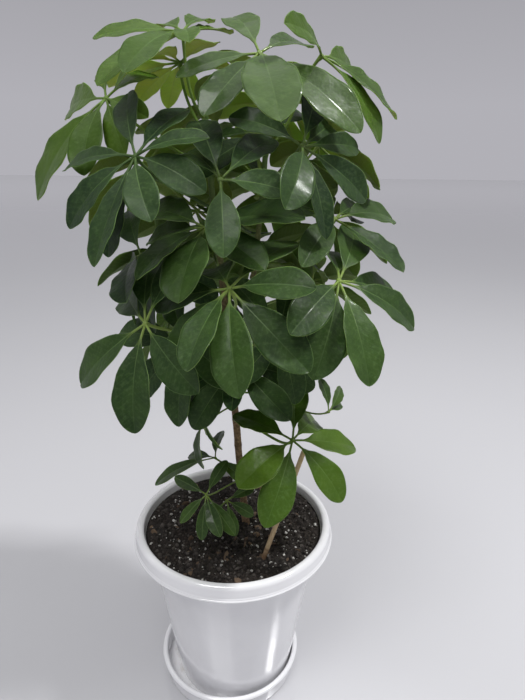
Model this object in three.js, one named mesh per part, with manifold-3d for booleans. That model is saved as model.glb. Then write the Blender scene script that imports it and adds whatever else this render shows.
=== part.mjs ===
// Potted umbrella plant: a forked trunk with its compound leaves and a cane, in soil, in a glossy
// white pot that stands on a loose saucer. Millimetres, +Z up. The origin is on the pot's axis at
// the level of the table, and the side that faces the viewer is -Y.
import * as THREE from "three";
import { mergeVertices } from "three/addons/utils/BufferGeometryUtils.js";
import Module from "manifold-3d";

const wasm = await Module();
wasm.setup();

// Driving dimensions of the pot and saucer
const BEAD_RADIUS = 100; // widest ring of the pot, the flared bead under its collar
const BEAD_HEIGHT = 168.3;
const LIP_RADIUS = 3.8; // roundness of the lip
const LIP_CENTRE = [93.4, 180.2];
const FOOT_RADIUS = 61;
const FOOT_HEIGHT = 3.3;
const WALL = 2.6;
const FLOOR = 3; // thickness of the pot's floor
const WALL_TOP_RADIUS = 85.2; // outside of the tapered wall where the collar starts
const WALL_TOP_HEIGHT = 166;
const DRAIN_RADIUS = 5;
const DRAIN_RING = 38;
const DRAIN_COUNT = 6;
const SAUCER_X = -5; // the pot stands off the middle of its saucer
const SAUCER_FLOOR = 3;
const SAUCER_INNER = 68.2;
const SAUCER_LIP = 74.5;
const SAUCER_LIP_ROUND = 2.7;
const SAUCER_HEIGHT = 21.4;
const ROUND = 32; // segments round the pot and the saucer

// Soil
const SOIL_LEVEL = 175.4;
const SOIL_EDGE = [[83.9, 170.5], [88.4, 174.4]]; // under the collar, up to its level
const GAP = 0.3; // kept between pieces that touch

// Stems, as spines with a radius at each end
const TRUNK_SPINE = [[13, 4, 122], [12, 1, 176], [5, 0, 262], [-1, 4, 340], [-9, 5, 430], [-17, 5, 510], [-21, 4, 572]];
const TRUNK_RADII = [4.2, 2.2];
const FORK_SPINE = [[1.5, 1.5, 300], [5, 7, 335], [15, 12, 400], [24, 9, 480], [29, 2, 545], [30, -1, 574]];
const FORK_RADII = [2.6, 2.2];
const STEM_STEPS = 16;
const CANE_SPINE = [[20.5, -52.5, 143], [31, -49.5, 176], [49, -44.5, 232], [65.5, -40, 284]];
const CANE_RADIUS = 2.4;

// Compound leaves
const ARCH = 34; // degrees that a leaflet bends down from its foot to its tip
const ARCH_SPREAD = 9; // and how much that varies from one to the next
const TWIST = 13; // degrees that a blade may roll about its middle line towards its tip
const SWAY = 0.05; // share of its reach that a tip may bend sideways
const NECK = 0.16; // share of a leaflet's reach that is its own little stalk
const NECK_HALF = 0.95;
const BROAD = 0.18; // half width of a blade over the leaflet's reach
const FULL = 1.1; // how the blade widens from its foot
const BLUNT = 0.7; // how it rounds off at its tip
const PEAK = (FULL / (FULL + BLUNT)) ** FULL * (BLUNT / (FULL + BLUNT)) ** BLUNT;
const RIB = 0.7; // depth of the blade's rib under its fold
const FOLD = 0.09; // rise of a blade's edges over its half width
const CUTS = [0.22, 0.55, 0.86, 1]; // sections along a blade
const BACK_CUTS = [0.3, 0.75, 1];
const PETIOLE_RADIUS = 1.25;
const SMALL_REACH = 60; // leaves that reach no farther have thinner petioles
const SMALL_PETIOLE = 0.8;
const PETIOLE_STEPS = 4;
const PETIOLE_SIDES = 4;
const KNOT = 3.6; // radius of the knot where the leaflets' stalks meet
const FINE = 0.12; // corners closer than this to their neighbours' faces are left out

// What bends clear of what
const CLEAR = 3.4; // between the middles of two blades
const ROD_PITCH = 5; // between two points along a stem, petiole or cane
const TRUNK_ROD = 3;
const FORK_ROD = 2.4;
const SOIL_TOP = SOIL_LEVEL + 5;
const RIM_TOP = 190;
const IN_POT = 84;
const OVER_POT = 106;
const STATIONS = 14;
const ACROSS = [-1, -0.5, 0, 0.5, 1];
const BENDS = [0, 8, -8, 16, 24, -16, 34, 46, 58];
const SWINGS = [0, 8, -8];

const rad = THREE.MathUtils.degToRad;
const vec = (p) => new THREE.Vector3(...p);
const ring = (count, start, droop) =>
  Array.from({ length: count }, (_, i) => [
    start + (i * 360) / count + 4 * Math.sin(5.1 * i + start),
    droop + 6 * Math.sin(2.4 * i + start),
    0.94 + 0.07 * Math.sin(3.7 * i + start),
  ]);

// Each leaf: where its leaflets meet, which way it faces (turn from the front towards +X, tilt from
// upright), how far its leaflets reach, the stem and height its petiole leaves from, and its leaflets,
// each an angle round the facing axis, a droop, a size and, where it isn't 1, a breadth.
const LEAVES = [
  // Crown
  ["leaf_crown_front", [23, -20, 599], [0, 40], 92, ["fork", 548],
    [[324, 16, 1.04, 1.05], [276, -8, 1.1], [240, 8, 0.78], [208, 4, 0.7, 0.8], [108, 8, 0.8],
      [54, 20, 0.74]]],
  ["leaf_crown_left", [-34, -10, 614], [0, 30], 80, ["trunk", 556],
    [[168, 8, 0.95], [224, 12, 1, 0.9], [243, 2, 0.95, 0.9], [285, -12, 0.72, 0.8], [53, 8, 0.74],
      [78, 12, 0.85, 0.8], [112, 16, 0.8], [196, 30, 0.8]]],
  ["leaf_crown_right", [70, 0, 601], [60, 55], 82, ["fork", 535],
    [[217, -6, 0.82, 0.85], [48, 2, 0.86], [0, -8, 1.04, 1.3], [330, 0, 0.98]]],
  ["leaf_crown_back", [-45, 50, 604], [180, 15], 68, ["trunk", 544],
    [[84, 12, 0.8, 0.75], [246, 20, 0.86], [162, 8, 1.1, 1.3], [138, 16, 0.98, 0.75],
      [108, 12, 1.04, 0.75], [306, 8, 0.92], [345, 12, 0.7], [205, 14, 0.9]]],
  // Front, from the top down
  ["leaf_left_high", [-101, 15, 572], [-30, 55], 99, ["trunk", 518],
    [[150, 20, 0.98, 0.95], [222, 8, 1.04, 1.1], [251, 0, 0.75, 1.1], [292, 0, 0.62], [318, 6, 0.62, 0.8],
      [60, 24, 0.6], [105, 16, 0.7]]],
  ["leaf_left_upper", [-63, -60, 527], [-30, 45], 82, ["trunk", 486],
    [[282, 8, 0.76], [258, 12, 1.04, 0.75], [210, 12, 0.88], [156, 4, 0.88, 0.75], [102, -8, 0.8, 0.9],
      [60, 12, 0.78], [354, 0, 0.72, 0.8], [318, 8, 0.78], [232, 28, 0.9]]],
  ["leaf_right_upper", [54, -50, 535], [30, 60], 80, ["fork", 502],
    [[252, -12, 0.86], [342, 12, 0.88], [294, 8, 0.86, 0.75], [12, 8, 0.76, 0.8], [156, 20, 0.72],
      [78, 4, 0.82], [48, 20, 0.8]]],
  ["leaf_middle_upper", [-3, -70, 512], [0, 45], 80, ["trunk", 462],
    [[276, 8, 0.76], [108, -4, 0.84], [54, 12, 0.86], [354, 4, 0.62, 1.3], [118, 24, 0.86]]],
  ["leaf_right_middle", [83, -70, 442], [30, 40], 82, ["fork", 408],
    [[69, 6, 0.95], [21, 20, 0.95], [351, 14, 0.95], [288, 14, 1], [264, 14, 0.95], [234, 0, 0.88],
      [92, 18, 0.9]]],
  ["leaf_middle", [4, -90, 440], [-30, 40], 82, ["trunk", 396],
    [[273, 14, 1], [306, 18, 1], [345, -3, 0.8], [48, 18, 0.92], [248, -3, 0.88], [177, 14, 0.92],
      [114, 28, 0.95], [212, 26, 0.9]]],
  ["leaf_left_low", [-59, -80, 411], [-30, 60], 82, ["trunk", 372],
    [[210, 9, 1], [264, 6, 1], [300, 3, 0.88], [138, 26, 0.95], [99, 26, 0.92], [60, 25, 0.9]]],
  ["leaf_front_low", [54, -50, 299], [30, 30], 74, ["trunk", 290],
    [[226, 0, 0.95, 1.15], [258, 18, 1.05], [321, 18, 0.92, 1.05], [10, 12, 0.92, 1.15],
      [148, 20, 0.85, 1.25], [87, 9, 0.95], [55, 26, 0.9]]],
  ["leaf_right_behind", [84, -20, 482], [30, 30], 85, ["fork", 446],
    [[36, 8, 0.92], [324, 8, 0.82, 1.3], [60, 4, 0.76, 0.8], [246, -4, 0.88, 0.8], [92, 14, 0.9],
      [130, 15, 0.9], [175, 20, 0.9], [350, 34, 0.8]]],
  ["leaf_middle_left", [-17, -40, 476], [-30, 30], 80, ["trunk", 434],
    [[258, 8, 0.95, 1.35], [342, -4, 1.04, 1.25], [132, -4, 0.92, 1.3], [156, 16, 0.9], [228, 6, 0.9],
      [300, 16, 0.9], [200, 20, 0.85]]],
  ["leaf_left_middle", [-75, -10, 450], [-60, 50], 84, ["trunk", 415],
    [[105, -6, 1], [291, 0, 0.92], [150, 20, 0.8], [200, 35, 0.8], [246, 28, 0.8], [330, 10, 0.9],
      [20, 15, 0.9], [62, 10, 0.95]]],
  ["leaf_top_middle", [25, 4, 546], [20, 35], 78, ["fork", 515],
    [[54, 0, 1], [90, 10, 0.95], [120, 22, 0.95], [165, 20, 0.9], [210, 20, 0.9], [255, 16, 0.9],
      [300, 16, 0.95], [345, 14, 0.95]]],
  ["leaf_low_middle", [6, -32, 362], [-10, 50], 80, ["trunk", 338],
    [[234, 14, 0.86], [268, 0, 0.55], [309, 0, 0.85], [350, 20, 0.9], [200, 20, 0.9], [30, 15, 0.9],
      [140, 20, 0.9]]],
  ["leaf_low_right", [40, -24, 386], [20, 55], 64, ["fork", 362], ring(7, 26, 14)],
  ["leaf_low_left", [-38, -22, 378], [-25, 55], 80, ["trunk", 350], ring(7, 10, 12)],
  // Sides and back, from the top down
  ["leaf_back_1", [42, 74, 574], [150, 35], 85, ["fork", 525], ring(7, 20, 12)],
  ["leaf_back_2", [-18, 96, 548], [-170, 45], 88, ["trunk", 502], ring(7, 5, 14)],
  ["leaf_back_3", [76, 60, 540], [125, 45], 82, ["fork", 490], ring(7, 30, 12)],
  ["leaf_back_4", [-78, 56, 524], [-125, 45], 84, ["trunk", 474], ring(7, 15, 12)],
  ["leaf_back_5", [30, 108, 506], [170, 50], 88, ["fork", 468], ring(7, 10, 14)],
  ["leaf_back_6", [-42, 104, 478], [-160, 50], 86, ["trunk", 448], ring(7, 25, 12)],
  ["leaf_back_7", [88, 72, 478], [135, 50], 82, ["fork", 434], ring(7, 0, 12)],
  ["leaf_back_8", [-66, 62, 448], [-130, 50], 80, ["trunk", 404], ring(7, 35, 12)],
  ["leaf_back_9", [18, 110, 440], [175, 50], 88, ["fork", 420], ring(7, 15, 12)],
  ["leaf_back_10", [78, 84, 410], [145, 55], 80, ["fork", 392], ring(7, 5, 12)],
  ["leaf_back_11", [-44, 92, 412], [-155, 55], 82, ["trunk", 384], ring(7, 30, 12)],
  ["leaf_back_12", [84, 24, 414], [100, 55], 74, ["fork", 378], ring(7, 20, 12)],
  ["leaf_back_13", [-56, 18, 394], [-95, 55], 72, ["trunk", 360], ring(7, 10, 12)],
  ["leaf_back_14", [14, 92, 370], [180, 55], 80, ["fork", 350], ring(7, 25, 12)],
  // Small leaves low on the trunk
  ["leaf_small_left", [-25, -30, 308], [-65, 80], 46, ["trunk", 305],
    [[250, 10, 1.15, 0.8], [285, 30, 0.7, 0.8], [215, 30, 0.7, 0.8]]],
  ["leaf_small_right", [88, -20, 312], [60, 50], 32, ["trunk", 318],
    [[120, -10, 1], [80, -15, 1], [45, 5, 0.9], [270, 30, 1], [310, 20, 0.9]]],
  ["leaf_shoot_1", [-22, -45, 240], [-15, 45], 40, ["trunk", 226],
    [[150, 0, 0.9, 0.8], [225, 5, 0.85, 0.75], [258, 12, 1, 0.7], [290, 4, 1.02, 0.85],
      [308, 12, 1.1, 0.7], [60, 0, 0.9, 0.8]]],
  ["leaf_shoot_2", [-5, -28, 222], [15, 50], 40, ["trunk", 212],
    [[225, 25, 0.8, 0.8], [285, 10, 0.85, 0.85], [335, 8, 0.75], [30, 10, 0.8, 0.8]]],
  ["leaf_shoot_3", [-16, -18, 262], [-60, 35], 50, ["trunk", 243],
    [[192, 0, 1.4, 0.6], [250, 30, 0.9, 0.7], [150, 5, 0.8, 0.7], [90, 10, 0.8, 0.8],
      [320, 30, 0.8, 0.8]]],
].map(([name, hub, facing, reach, root, leaflets]) => ({ name, hub: vec(hub), facing, reach, root, leaflets }));

// Solids for joining and cutting

function solidOf(geometry) {
  const bare = geometry.index ? geometry.toNonIndexed() : geometry.clone();
  const only = new THREE.BufferGeometry().setAttribute("position", bare.getAttribute("position"));
  const merged = mergeVertices(only, 1e-4);
  const triVerts = new Uint32Array(merged.index.array);
  return new wasm.Manifold(
    new wasm.Mesh({ numProp: 3, vertProperties: merged.attributes.position.array, triVerts }),
  );
}

function geometryOf(solid) {
  const { vertProperties, triVerts } = solid.getMesh();
  const geometry = new THREE.BufferGeometry();
  geometry.setAttribute("position", new THREE.BufferAttribute(new Float32Array(vertProperties), 3));
  geometry.setIndex(new THREE.BufferAttribute(new Uint32Array(triVerts), 1));
  geometry.computeVertexNormals();
  return geometry;
}

// A closed skin over sections with the same number of corners, each counter-clockwise as seen from
// the far end.
function loft(sections) {
  const sides = sections[0].length;
  const points = sections.flat();
  const faces = [];
  for (let k = 0; k + 1 < sections.length; k++) {
    for (let i = 0; i < sides; i++) {
      const a = k * sides + i;
      const b = k * sides + ((i + 1) % sides);
      faces.push(a, b, a + sides, b, b + sides, a + sides);
    }
  }
  const last = points.length - sides;
  for (let i = 1; i + 1 < sides; i++) {
    faces.push(0, i + 1, i, last, last + i, last + i + 1);
  }
  const geometry = new THREE.BufferGeometry().setFromPoints(points);
  geometry.setIndex(faces);
  return geometry;
}

// A tapered tube through points, with its sides turned as little as possible from one to the next.
function tube(points, radiusAt, sides) {
  const sections = [];
  let side = new THREE.Vector3(0, 1, 0);
  points.forEach((point, k) => {
    const before = points[Math.max(k - 1, 0)];
    const after = points[Math.min(k + 1, points.length - 1)];
    const along = new THREE.Vector3().subVectors(after, before).normalize();
    side = side.clone().addScaledVector(along, -side.dot(along)).normalize();
    const up = new THREE.Vector3().crossVectors(along, side);
    const radius = radiusAt(k / (points.length - 1));
    sections.push(
      Array.from({ length: sides }, (_, i) => {
        const turn = (i / sides) * 2 * Math.PI;
        return point
          .clone()
          .addScaledVector(side, radius * Math.cos(turn))
          .addScaledVector(up, radius * Math.sin(turn));
      }),
    );
  });
  return loft(sections);
}

// A body of revolution round an upright axis from [radius, height] points.
function turned(outline, segments) {
  const points = outline.map(([r, z]) => new THREE.Vector2(r, z));
  return new THREE.LatheGeometry(points, segments).rotateX(Math.PI / 2);
}

// Points of an arc of an outline, in degrees from the +radius direction.
function arc([r, z], radius, from, to, steps) {
  return Array.from({ length: steps + 1 }, (_, i) => {
    const a = rad(from + ((to - from) * i) / steps);
    return [r + radius * Math.cos(a), z + radius * Math.sin(a)];
  });
}

// Pot and saucer

// Outside radius of the pot's tapered wall at a height
function wallAt(z) {
  const slope = (WALL_TOP_RADIUS - FOOT_RADIUS) / (WALL_TOP_HEIGHT - FOOT_HEIGHT);
  return FOOT_RADIUS + slope * (z - FOOT_HEIGHT);
}

function potGeometry() {
  const floor = FOOT_HEIGHT + FLOOR;
  const outline = [
    [0, FOOT_HEIGHT + 1],
    [50, FOOT_HEIGHT + 1],
    [52, FOOT_HEIGHT],
    ...arc([FOOT_RADIUS - 2.4, FOOT_HEIGHT + 2.4], 2.4, -90, 0, 2),
    [WALL_TOP_RADIUS, WALL_TOP_HEIGHT],
    [86.6, 169.4],
    [91.6, 174.6],
    [95, 176.4],
    [96.8, BEAD_HEIGHT],
    ...arc([BEAD_RADIUS - 1.4, BEAD_HEIGHT + 1.4], 1.4, -90, 60, 2),
    [98.1, 172.4],
    ...arc(LIP_CENTRE, LIP_RADIUS, 0, 180, 5),
    [88.9, 174.2],
    [84.4, 170.4],
    [wallAt(160) - WALL, 160],
    [wallAt(floor + 3) - WALL, floor + 3],
    [wallAt(floor) - WALL - 3, floor],
    [0, floor],
  ];
  let pot = solidOf(turned(outline, ROUND));
  for (let i = 0; i < DRAIN_COUNT; i++) {
    const turn = (i / DRAIN_COUNT) * 2 * Math.PI;
    const drain = new THREE.CylinderGeometry(DRAIN_RADIUS, DRAIN_RADIUS, 12, 8).rotateX(Math.PI / 2);
    drain.translate(DRAIN_RING * Math.cos(turn), DRAIN_RING * Math.sin(turn), FOOT_HEIGHT);
    pot = pot.subtract(solidOf(drain));
  }
  return geometryOf(pot);
}

function saucerGeometry() {
  const lip = [SAUCER_LIP - SAUCER_LIP_ROUND, SAUCER_HEIGHT - SAUCER_LIP_ROUND];
  const outline = [
    [0, 0],
    ...arc([SAUCER_INNER, 2.4], 2.4, -90, 0, 3),
    [71.4, 16],
    ...arc(lip, SAUCER_LIP_ROUND, -60, 190, 6),
    [SAUCER_INNER, 5],
    [SAUCER_INNER - 1.8, SAUCER_FLOOR],
    [0, SAUCER_FLOOR],
  ];
  return turned(outline, ROUND).translate(SAUCER_X, 0, 0);
}

// Height of the soil's crumbled surface over its level
const soilRise = (x, y) =>
  1.3 * Math.sin(0.11 * x + 1.3) * Math.cos(0.13 * y - 0.4) + 0.7 * Math.sin(0.29 * x + 0.21 * y);

function soilGeometry(stems) {
  const floor = FOOT_HEIGHT + FLOOR + GAP;
  const insideAt = (z) => wallAt(z) - WALL - GAP;
  const rings = [72, 55, 38, 20];
  const outline = [
    [0, floor],
    [insideAt(floor) - 3.2, floor],
    [insideAt(floor + 3), floor + 3],
    [insideAt(160), 160],
    ...SOIL_EDGE,
    ...rings.map((r) => [r, SOIL_LEVEL]),
    [0, SOIL_LEVEL],
  ];
  const geometry = turned(outline, ROUND);
  const place = geometry.attributes.position;
  for (let i = 0; i < place.count; i++) {
    if (place.getZ(i) > SOIL_LEVEL - 0.1) {
      place.setZ(i, SOIL_LEVEL + soilRise(place.getX(i), place.getY(i)));
    }
  }
  return geometryOf(stems.reduce((soil, stem) => soil.subtract(stem), solidOf(geometry)));
}

// Stems

const spineOf = (points) =>
  new THREE.CatmullRomCurve3(points.map(vec), false, "catmullrom", 0.5).getPoints(STEM_STEPS);

const STEMS = {
  trunk: { points: spineOf(TRUNK_SPINE), radii: TRUNK_RADII },
  fork: { points: spineOf(FORK_SPINE), radii: FORK_RADII },
};

function stemSolid({ points, radii: [foot, top] }, more) {
  return solidOf(tube(points, (s) => foot + (top - foot) * s + more, 8));
}

// The point of a stem's spine at a height
function onStem(name, height) {
  const { points } = STEMS[name];
  const k = points.findIndex((p) => p.z > height) - 1;
  const share = (height - points[k].z) / (points[k + 1].z - points[k].z);
  return points[k].clone().lerp(points[k + 1], share);
}

// Leaves

// Facing axis of a leaf, and the directions in its plane where angles start and turn to
function axesOf([turn, tilt]) {
  const lean = Math.sin(rad(tilt));
  const up = new THREE.Vector3(lean * Math.sin(rad(turn)), -lean * Math.cos(rad(turn)), Math.cos(rad(tilt)));
  const right = new THREE.Vector3(1, 0, 0).addScaledVector(up, -up.x).normalize();
  return { up, right, ahead: new THREE.Vector3().crossVectors(up, right) };
}

// A leaflet's middle line is an arc that leaves the hub and bends down by its arch. Towards the tip
// it also sways sideways, and its blade rolls about it, each leaflet by its own number. This gives the
// line's point at a share of its reach, with its directions and half width there.
function leafletAt(leaf, [angle, droop, size, breadth, number], share) {
  const { up, right, ahead } = leaf.axes;
  const out = right.clone().multiplyScalar(Math.cos(rad(angle))).addScaledVector(ahead, Math.sin(rad(angle)));
  const arch = rad(ARCH + ARCH_SPREAD * Math.sin(1.7 * number));
  const first = arch / 2 - rad(droop);
  const now = first - arch * share;
  const reach = leaf.reach * size;
  const length = (reach * (Math.sin(first) - Math.sin(now))) / arch;
  const rise = (reach * (Math.cos(now) - Math.cos(first))) / arch;
  const sway = SWAY * reach * Math.sin(2.3 * number) * share ** 2;
  const roll = rad(TWIST * Math.sin(3.1 * number)) * share;
  const q = Math.max((share - NECK) / (1 - NECK), 0);
  const shape = (q ** FULL * Math.max(1 - q, 0) ** BLUNT) / PEAK;
  const level = new THREE.Vector3().crossVectors(up, out);
  const square = up.clone().multiplyScalar(Math.cos(now)).addScaledVector(out, -Math.sin(now));
  return {
    middle: leaf.hub.clone().addScaledVector(out, length).addScaledVector(up, rise).addScaledVector(level, sway),
    along: out.clone().multiplyScalar(Math.cos(now)).addScaledVector(up, Math.sin(now)),
    above: square.clone().multiplyScalar(Math.cos(roll)).addScaledVector(level, -Math.sin(roll)),
    side: level.clone().multiplyScalar(Math.cos(roll)).addScaledVector(square, Math.sin(roll)),
    half: (NECK_HALF * leaf.petioleRadius) / PETIOLE_RADIUS + BROAD * breadth * reach * shape,
  };
}

// A petiole leaves its stem outwards and upwards and comes into the hub along the leaf's axis.
function petioleOf(leaf, steps) {
  const [stem, height] = leaf.root;
  const foot = onStem(stem, height);
  const span = leaf.hub.distanceTo(foot);
  const out = leaf.hub.clone().sub(foot).setZ(0).normalize();
  const leave = foot.clone().addScaledVector(out, 0.3 * span).add(new THREE.Vector3(0, 0, 0.16 * span));
  const arrive = leaf.hub.clone().addScaledVector(leaf.axes.up, -0.3 * span);
  return new THREE.CubicBezierCurve3(foot, leave, arrive, leaf.hub).getPoints(steps);
}

const taken = []; // stations of the leaflets that have their place
const rods = []; // points along stems, petioles and the cane, with their radius

function addRod(owner, points, radius) {
  points.forEach((p, k) => {
    if (k === 0) return;
    const parts = Math.ceil(p.distanceTo(points[k - 1]) / ROD_PITCH);
    for (let i = 1; i <= parts; i++) {
      rods.push({ owner, point: points[k - 1].clone().lerp(p, i / parts), radius });
    }
  });
}

// A leaflet is clear when none of the points over its blade lies in the slab round another blade's
// stations, near a rod, on the pot's lip or in the soil.
function isClear(leaf, leaflet) {
  for (let k = 1; k <= STATIONS; k++) {
    const share = k / STATIONS;
    const { middle, side, half } = leafletAt(leaf, leaflet, Math.min(share, 0.98));
    for (const across of ACROSS) {
      const p = middle.clone().addScaledVector(side, across * half);
      const wide = Math.hypot(p.x, p.y);
      if (wide < OVER_POT && p.z < (wide > IN_POT ? RIM_TOP : SOIL_TOP)) return false;
      for (const rod of rods) {
        if (rod.owner === leaf.name && share < 0.35) continue;
        if (p.distanceTo(rod.point) < rod.radius + CLEAR) return false;
      }
      for (const other of taken) {
        if (other.owner === leaf.name && share < 0.45) continue;
        const d = p.clone().sub(other.middle);
        if (
          Math.abs(d.dot(other.above)) < CLEAR &&
          Math.abs(d.dot(other.along)) < other.step + 2 &&
          Math.abs(d.dot(other.side)) < other.half + 1.5
        ) {
          return false;
        }
      }
    }
  }
  return true;
}

// Gives each leaflet of a leaf its place: as listed, or bent and swung by the first choice that is
// clear of what stands already. One that finds no room is left out.
function placeLeaflets(leaf) {
  const placed = [];
  for (const [k, [angle, droop, size, breadth = 1]] of leaf.leaflets.entries()) {
    const number = leaf.number + k;
    const choices = BENDS.flatMap((bend) =>
      SWINGS.map((swing) => [angle + swing, droop + bend, size, breadth, number]),
    );
    const found = choices.find((choice) => isClear(leaf, choice));
    if (!found) continue;
    placed.push(found);
    for (let k = 1; k <= STATIONS; k++) {
      const station = leafletAt(leaf, found, k / STATIONS);
      taken.push({ owner: leaf.name, step: leaf.reach / STATIONS / 2, ...station });
    }
  }
  return placed;
}

// A leaflet's solid: a flat-topped blade with a rib under it, on its own little stalk
function leafletGeometry(leaf, leaflet) {
  const cuts = leaf.name.startsWith("leaf_back") ? BACK_CUTS : CUTS;
  const shares = [0.015, NECK, ...cuts.map((cut) => NECK + (1 - NECK) * cut)];
  return loft(
    shares.map((share) => {
      const { middle, above, side, half } = leafletAt(leaf, leaflet, share);
      const rise = 0.4 + FOLD * half;
      return [
        middle.clone().addScaledVector(side, -half).addScaledVector(above, rise),
        middle.clone().addScaledVector(above, -RIB),
        middle.clone().addScaledVector(side, half).addScaledVector(above, rise),
      ];
    }),
  );
}

function leafGeometry(leaf, stems) {
  const radius = leaf.petioleRadius;
  const petiole = tube(petioleOf(leaf, PETIOLE_STEPS), () => radius, PETIOLE_SIDES);
  const knot = new THREE.OctahedronGeometry((KNOT * radius) / PETIOLE_RADIUS, 0).translate(...leaf.hub);
  let solid = solidOf(petiole).add(solidOf(knot));
  for (const leaflet of leaf.placed) {
    solid = solid.add(solidOf(leafletGeometry(leaf, leaflet)));
  }
  for (const stem of stems) {
    solid = solid.subtract(stem);
  }
  return geometryOf(solid.simplify(FINE));
}

// The plant's parts take their places in the list's order, after all the stalks.
for (const [index, leaf] of LEAVES.entries()) {
  leaf.number = 10 * index;
  leaf.axes = axesOf(leaf.facing);
  leaf.petioleRadius = leaf.reach > SMALL_REACH ? PETIOLE_RADIUS : SMALL_PETIOLE;
}
const cane = spineOf(CANE_SPINE);
addRod("cane", cane, CANE_RADIUS);
addRod("trunk", STEMS.trunk.points, TRUNK_ROD);
addRod("fork", STEMS.fork.points, FORK_ROD);
for (const leaf of LEAVES) {
  addRod(leaf.name, petioleOf(leaf, 12), leaf.petioleRadius);
}
for (const leaf of LEAVES) {
  leaf.placed = placeLeaflets(leaf);
}

// Materials
const gloss = new THREE.MeshStandardMaterial({ color: "#e9e9ec", roughness: 0.15 });
const earth = new THREE.MeshStandardMaterial({ color: "#1f1916", roughness: 0.95 });
const bark = new THREE.MeshStandardMaterial({ color: "#8d7455", roughness: 0.8 });
const bamboo = new THREE.MeshStandardMaterial({ color: "#b79a72", roughness: 0.6 });
const foliage = new THREE.MeshStandardMaterial({ color: "#2f4a2c", roughness: 0.35, side: THREE.DoubleSide });

const plant = new THREE.Group();

function addPiece(name, geometry, material) {
  const mesh = new THREE.Mesh(geometry, material);
  mesh.name = name;
  plant.add(mesh);
}

const trunkSolid = stemSolid(STEMS.trunk, 0).add(stemSolid(STEMS.fork, 0));
const aroundStems = [stemSolid(STEMS.trunk, GAP), stemSolid(STEMS.fork, GAP)];
const aroundCane = solidOf(tube(cane, () => CANE_RADIUS + GAP, 8));

addPiece("saucer", saucerGeometry(), gloss);
addPiece("pot", potGeometry(), gloss);
addPiece("soil", soilGeometry([aroundStems[0], aroundCane]), earth);
addPiece("trunk", geometryOf(trunkSolid), bark);
addPiece("cane", tube(cane, () => CANE_RADIUS, 8), bamboo);
for (const leaf of LEAVES) {
  addPiece(leaf.name, leafGeometry(leaf, aroundStems), foliage);
}

export default plant;
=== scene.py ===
from collections import namedtuple
from math import ceil, cos, pi, radians, sin

import bpy
import numpy as np
from mathutils import Matrix, Vector


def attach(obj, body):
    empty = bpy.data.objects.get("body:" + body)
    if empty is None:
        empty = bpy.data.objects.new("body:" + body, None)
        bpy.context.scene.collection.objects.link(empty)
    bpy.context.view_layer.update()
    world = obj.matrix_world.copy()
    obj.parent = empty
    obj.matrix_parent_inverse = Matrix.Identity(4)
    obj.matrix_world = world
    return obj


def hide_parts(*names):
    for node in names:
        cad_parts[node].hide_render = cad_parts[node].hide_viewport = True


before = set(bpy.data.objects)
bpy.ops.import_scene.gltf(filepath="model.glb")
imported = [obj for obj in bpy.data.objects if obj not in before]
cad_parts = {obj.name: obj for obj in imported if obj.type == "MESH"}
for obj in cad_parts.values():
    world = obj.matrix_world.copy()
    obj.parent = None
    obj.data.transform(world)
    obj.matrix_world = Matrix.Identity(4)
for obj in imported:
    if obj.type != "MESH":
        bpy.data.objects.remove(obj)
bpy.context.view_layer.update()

# Saucer. A loose dish of glossy white plastic that catches what drains out of the pot. It is
# moulded in one piece, with a flat floor, a short wall and a rolled lip.

MM = 0.001
SAUCER_X = -5  # the pot stands off the middle of its saucer
SAUCER_LIP = (71.8, 18.7)
SAUCER_LIP_RADIUS = 2.7
SAUCER_FLOOR = 3
SAUCER_INNER = 68.2
SAUCER_STEP = 5  # at most, between two rows of its mesh
SAUCER_SEGMENTS = 128
CREASE = 40  # degrees between two faces from which their edge looks sharp
WHITE = (0.83, 0.83, 0.85)
HAZE = (0.74, 0.74, 0.76)
GRIME = (0.30, 0.24, 0.18)


def arc(centre, radius, start, end, steps):
    """Points of an arc in the plane of radius and height, from one angle to another, in degrees."""
    turn = np.radians(np.linspace(start, end, steps + 1))
    return np.c_[centre[0] + radius * np.cos(turn), centre[1] + radius * np.sin(turn)]


def stepped(profile, step):
    """The profile with points added evenly along its straight stretches, at most a step apart."""
    ends = zip(profile[:-1], profile[1:])
    parts = [np.linspace(a, b, max(1, ceil(np.hypot(*(b - a)) / step)), endpoint=False) for a, b in ends]
    return np.concatenate([*parts, profile[-1:]])


def skin(grids):
    """Points and faces of closed skins. Each grid has rows of points that run round in a loop, with
    its last axis holding x, y, z and any values that go with them. A row's quads join it to the next,
    and each end row closes in a fan on the mean of its own points."""
    points, quads, fans, first = [], [], [], 0
    for grid in grids:
        rows, columns, width = grid.shape[-3:]
        grid = grid.reshape(-1, rows, columns, width)
        ends = grid[:, [0, -1]].mean(axis=2)
        shells = np.concatenate([grid.reshape(len(grid), -1, width), ends], axis=1)
        points.append(shells.reshape(-1, width))
        size = rows * columns + 2
        start = first + size * np.arange(len(grid))[:, None, None]
        here = start + np.arange(rows * columns).reshape(rows, columns)
        after = np.roll(here, -1, axis=2)
        corners = np.stack([here, after, np.roll(after, -1, 1), np.roll(here, -1, 1)], -1)
        quads.append(corners[:, :-1].reshape(-1, 4))
        foot, top = start[:, 0] + size - 2, start[:, 0] + size - 1
        foot, top = np.broadcast_arrays(foot, top, here[:, 0])[:2]
        fans.append(np.stack([foot, after[:, 0], here[:, 0]], -1).reshape(-1, 3))
        fans.append(np.stack([top, here[:, -1], after[:, -1]], -1).reshape(-1, 3))
        first += size * len(grid)
    return np.concatenate(points), np.concatenate(quads), np.concatenate(fans)


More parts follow.
